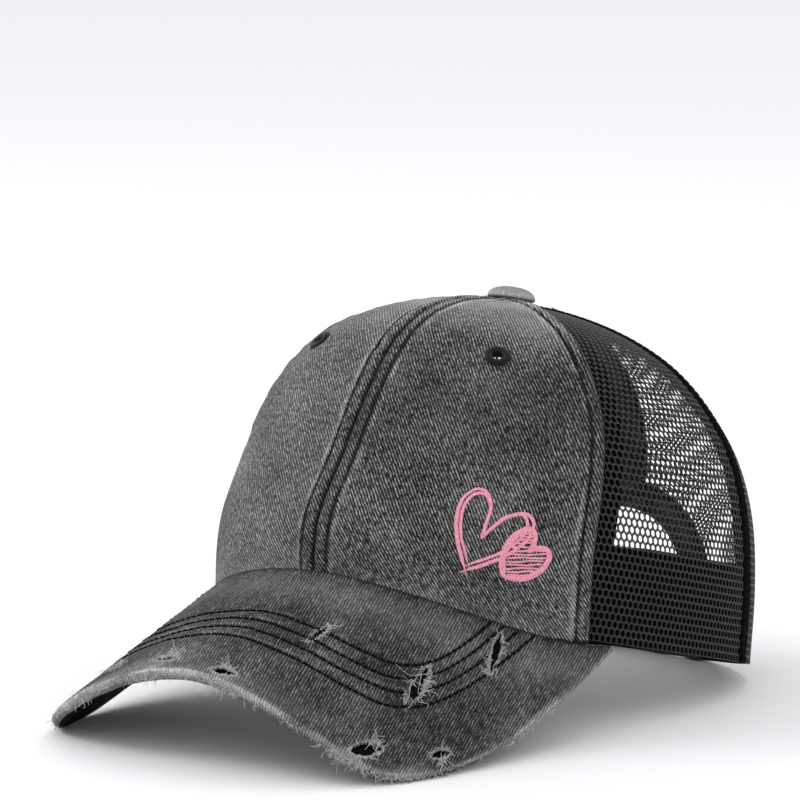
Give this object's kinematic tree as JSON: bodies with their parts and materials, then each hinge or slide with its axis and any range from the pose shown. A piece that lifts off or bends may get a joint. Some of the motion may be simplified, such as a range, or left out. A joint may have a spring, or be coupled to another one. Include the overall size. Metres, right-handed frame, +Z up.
{
  "type": "ponytail baseball cap",
  "caption": "Worn-look baseball cap with a curved peak, twill front, open net sides and back, a bound ponytail slot and a D-shaped rear opening closed by a hook-and-loop strap.",
  "frame": {"origin": "middle of the bounding box in plan, on the surface that the cap rests on", "axes": "+Z up, -Y the way the peak points, +X the wearer's left; the cap leans back onto its peak's side edges and the foot of its rear strap"},
  "size_m": [0.1728, 0.2486, 0.1358],
  "materials": {
    "washed_twill": "washed charcoal twill, pale where worn",
    "black_net": "black polyester net",
    "black_band": "black cotton twill",
    "black_board": "black twill over board",
    "grey_tape": "washed charcoal twill tape",
    "grey_strap": "washed charcoal strap with hook-and-loop",
    "dark_eyelet": "black enamel"
  },
  "bodies": {
    "root": {"front_panel_left": "washed_twill", "front_panel_right": "washed_twill", "mesh_side_left": "black_net", "mesh_side_right": "black_net", "mesh_back_left": "black_net", "mesh_back_right": "black_net", "opening_binding": "grey_tape", "slot_binding_left": "grey_tape", "slot_binding_right": "grey_tape", "sweatband": "black_band", "seam_tape_front_left": "black_band", "seam_tape_front_right": "black_band", "seam_tape_rear_left": "black_band", "seam_tape_rear_right": "black_band", "peak_cover": "washed_twill", "peak_underside": "black_board", "strap": "grey_strap", "strap_tab": "grey_strap", "button": "washed_twill", "eyelet_left": "dark_eyelet", "eyelet_right": "dark_eyelet"}
  },
  "joints": []
}
